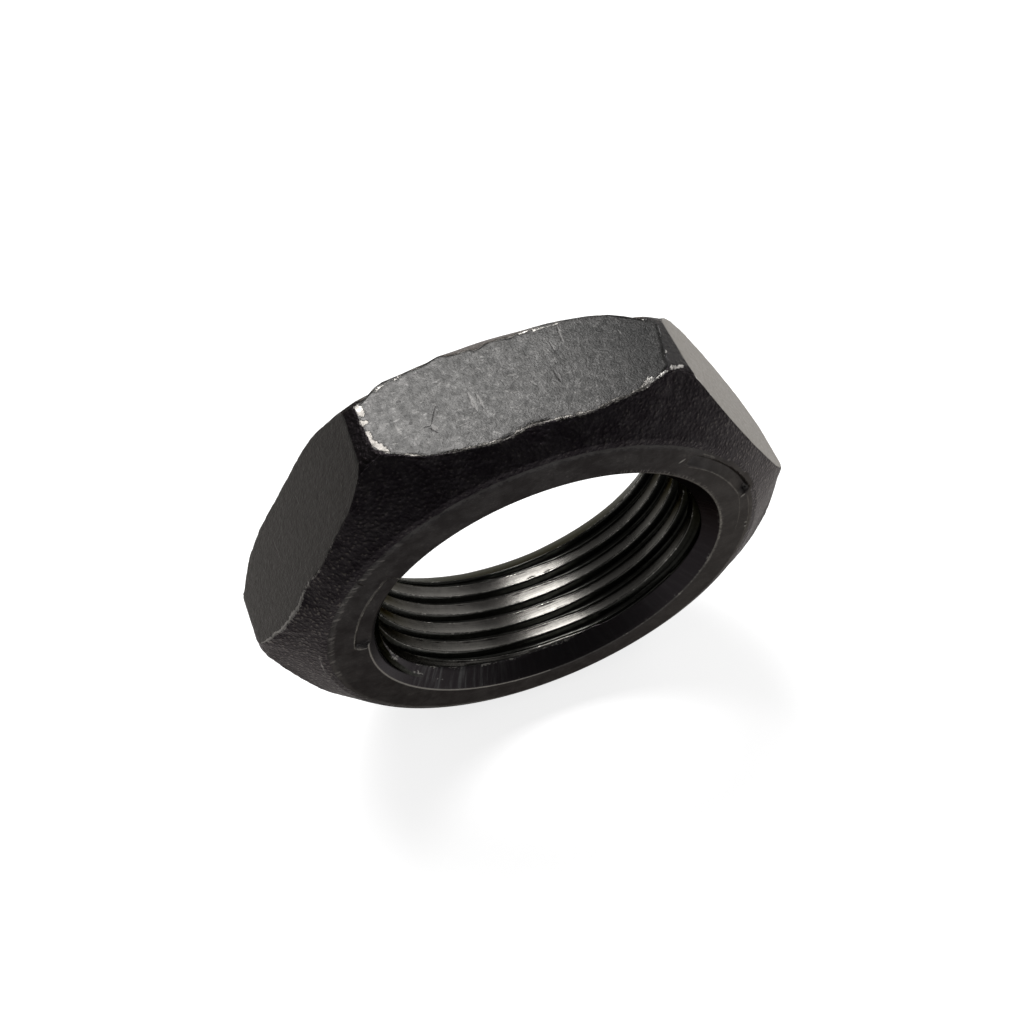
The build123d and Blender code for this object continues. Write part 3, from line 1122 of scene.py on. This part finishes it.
# Streaks run down the front countersink, most of all at the lower left
streak_place = as_place(times(at_turn, 0.45), times(at_depth, 0.25))
streaked = fade(away_from(at_turn, -143.0), 10.0, 26.0, 1.0, 0.15)
streaks = times(fade(grain(streak_place, 1.0, 4.0, 0.65), 0.45, 0.72), streaked)
# Painted light and shade: the front countersink is paler at the left and darker at the right
front_colour = painted(between(streaks, (0.03, 0.026, 0.028), (0.085, 0.083, 0.083)), [
    (at_left, 1, (0.085, 0.08, 0.085)),
    (at_right, 0.4, (0.008, 0.007, 0.008)),
])
back_tone = fade(at_depth, 11.0, 12.45)
back_colour = between(back_tone, (0.035, 0.035, 0.032), (0.12, 0.118, 0.107))
colour = painted(between(in_groove, crest_colour, groove_colour), [
    (on_front, 1, front_colour),
    (on_back, 1, back_colour),
    (bare, 0.55, (0.4, 0.385, 0.355)),
])
rough = fade(higher(on_front, on_back), 0.0, 1.0, 0.27, 0.36)
height = times_plus(cut, 0.6, times(grain(spot, 0.35, 3.0, 0.55), 0.5))
dress(shader, colour, rough, (0.38, 0.375, 0.35), height, 0.012)


# BACK FACE
# The back is a plain turned face, which the blank's own cone runs up to. It closes the nut, whose
# surfaces are then all one piece of steel.

hole_edge = back_mouth_radius + rim
back_rows = []
for share in (0.15, 0.4, 0.7, 0.92):
    row_radius = rim_bend[-1][:, 0] + (hole_edge - rim_bend[-1][:, 0]) * share
    back_rows.append(place_on_nut(row_radius, np.full(columns, thickness), even_turn))
back_rows = np.array(back_rows)
back_numbers = add_rows(back_rows, np.zeros(back_rows.shape[:2]))
skin(np.vstack([hexagon_numbers[-1], back_numbers]), lambda row, spot: TURNED)
join_twice_as_many(thread_numbers[-1], back_numbers[-1], TURNED)

nut_mesh = bpy.data.meshes.new("spindle_nut")
nut_places_in_metres = (np.array(nut_places) * MM).tolist()
nut_mesh.from_pydata(nut_places_in_metres, [], [[int(n) for n in face] for face in nut_faces])
# The wear attribute also carries the painted highlight along the lit walls of the marks
nut_mesh.attributes.new("edge_wear", "FLOAT", "POINT").data.foreach_set("value", nut_wear_and_glint)
for finish in (milled_flats, forged_cones, turned_faces, cut_thread):
    nut_mesh.materials.append(finish)
nut_mesh.polygons.foreach_set("material_index", nut_face_finish)

# The seams are welded, and so are the rows that meet at the ends of the thread
welded = bmesh.new()
welded.from_mesh(nut_mesh)
weld_distance = 0.8e-6
bmesh.ops.remove_doubles(welded, verts=welded.verts, dist=weld_distance)
bmesh.ops.dissolve_degenerate(welded, edges=welded.edges, dist=1e-7)
bmesh.ops.recalc_face_normals(welded, faces=welded.faces)
welded.to_mesh(nut_mesh)
welded.free()
nut_mesh.polygons.foreach_set("use_smooth", [True] * len(nut_mesh.polygons))
nut_mesh.update()


def add_object(name, data):
    """Puts a mesh, a lamp or a camera into the scene."""
    made = bpy.data.objects.new(name, data)
    bpy.context.scene.collection.objects.link(made)
    return made


nut = add_object("spindle_nut", nut_mesh)
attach(nut, "root")
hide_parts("nut")


# FLOOR
# A wide sheet of white paper, lit from above. The camera sees it as white, and it keeps the nut's
# faint shadow. For the steel it glows less towards the left, which darkens the left flat's
# reflection.

floor_reach = 1.5
floor_corners = [(-floor_reach, -floor_reach, 0), (floor_reach, -floor_reach, 0),
                 (floor_reach, floor_reach, 0), (-floor_reach, floor_reach, 0)]
floor_mesh = bpy.data.meshes.new("paper_floor")
floor_mesh.from_pydata(floor_corners, [], [(0, 1, 2, 3)])
floor = add_object("paper_floor", floor_mesh)

paper = bpy.data.materials.new("white_paper")
paper.use_nodes = True
nodes = paper.node_tree.nodes
shader = nodes["Principled BSDF"].inputs
feed(shader["Base Color"], (0.5, 0.5, 0.5))
feed(shader["Roughness"], 0.9)
feed(shader["Specular IOR Level"], 0.0)
feed(shader["Emission Color"], (1, 1, 1))
path = nodes.new("ShaderNodeLightPath").outputs
place = nodes.new("ShaderNodeTexCoord").outputs["Object"]
across = put("ShaderNodeSeparateXYZ", {0: place}).outputs[0]
# The paper's glow in reflections falls off towards the left
glow = fade(across, -0.1, 0.01, 0.1, 0.48)
seen = times_plus(path["Is Camera Ray"], 0.8, times(path["Is Glossy Ray"], glow))
feed(shader["Emission Strength"], seen)
floor_mesh.materials.append(paper)


# LAMPS
# A soft box hangs above and behind the nut, and a wide panel stands at the right. The room is an
# even grey, and darker towards the place where the photographer stands.

lamps = [
    ("soft_box", (-0.021, 0.156, 0.27), (0.166, 0.12), 0.98),
    ("side_panel", (0.4, 0.18, 0.17), (0.4, 0.3), 0.42),
]
middle_of_nut = Vector((0, 0, axis_height * MM))
for name, stand, (width, height), power in lamps:
    lamp_data = bpy.data.lights.new(name, "AREA")
    lamp_data.shape = "RECTANGLE"
    lamp_data.size, lamp_data.size_y = width, height
    lamp_data.energy = power
    lamp = add_object(name, lamp_data)
    lamp.location = stand
    lamp.rotation_mode = "QUATERNION"
    lamp.rotation_quaternion = (middle_of_nut - lamp.location).to_track_quat("-Z", "Y")
    lamp.visible_camera = False

room = bpy.data.worlds.new("grey_room")
bpy.context.scene.world = room
room.use_nodes = True
nodes = room.node_tree.nodes
direction = nodes.new("ShaderNodeTexCoord").outputs["Generated"]
photographer = (-0.25, -0.9, 0.35)
toward_front = vector_step("DOT_PRODUCT", direction, photographer, "Value")
background = nodes["Background"].inputs
feed(background["Color"], (1, 1, 1))
feed(background["Strength"], fade(toward_front, 0.45, 0.8, 0.3, 0.07))


# CAMERA
# It looks down on the nut from the front left, a little turned, as in the photograph.

camera_data = bpy.data.cameras.new("camera")
camera = add_object("camera", camera_data)
bpy.context.scene.camera = camera
camera_data.sensor_width = 36
camera_data.lens = 42.86
picture_size = 1024
camera_data.shift_x = -80.0 / picture_size
camera_data.shift_y = -19.9 / picture_size
camera_data.clip_start = 0.005
camera_data.clip_end = 10
forward = Vector((0.22178, 0.49522, -0.83998))
up = Vector((0.30438, 0.78323, 0.54213))
right = forward.cross(up)
camera.rotation_mode = "QUATERNION"
camera.rotation_quaternion = Matrix((right, up, -forward)).transposed().to_quaternion()
camera.location = (-0.01651, -0.05088, 0.10922)

bpy.context.scene.view_settings.view_transform = "Standard"
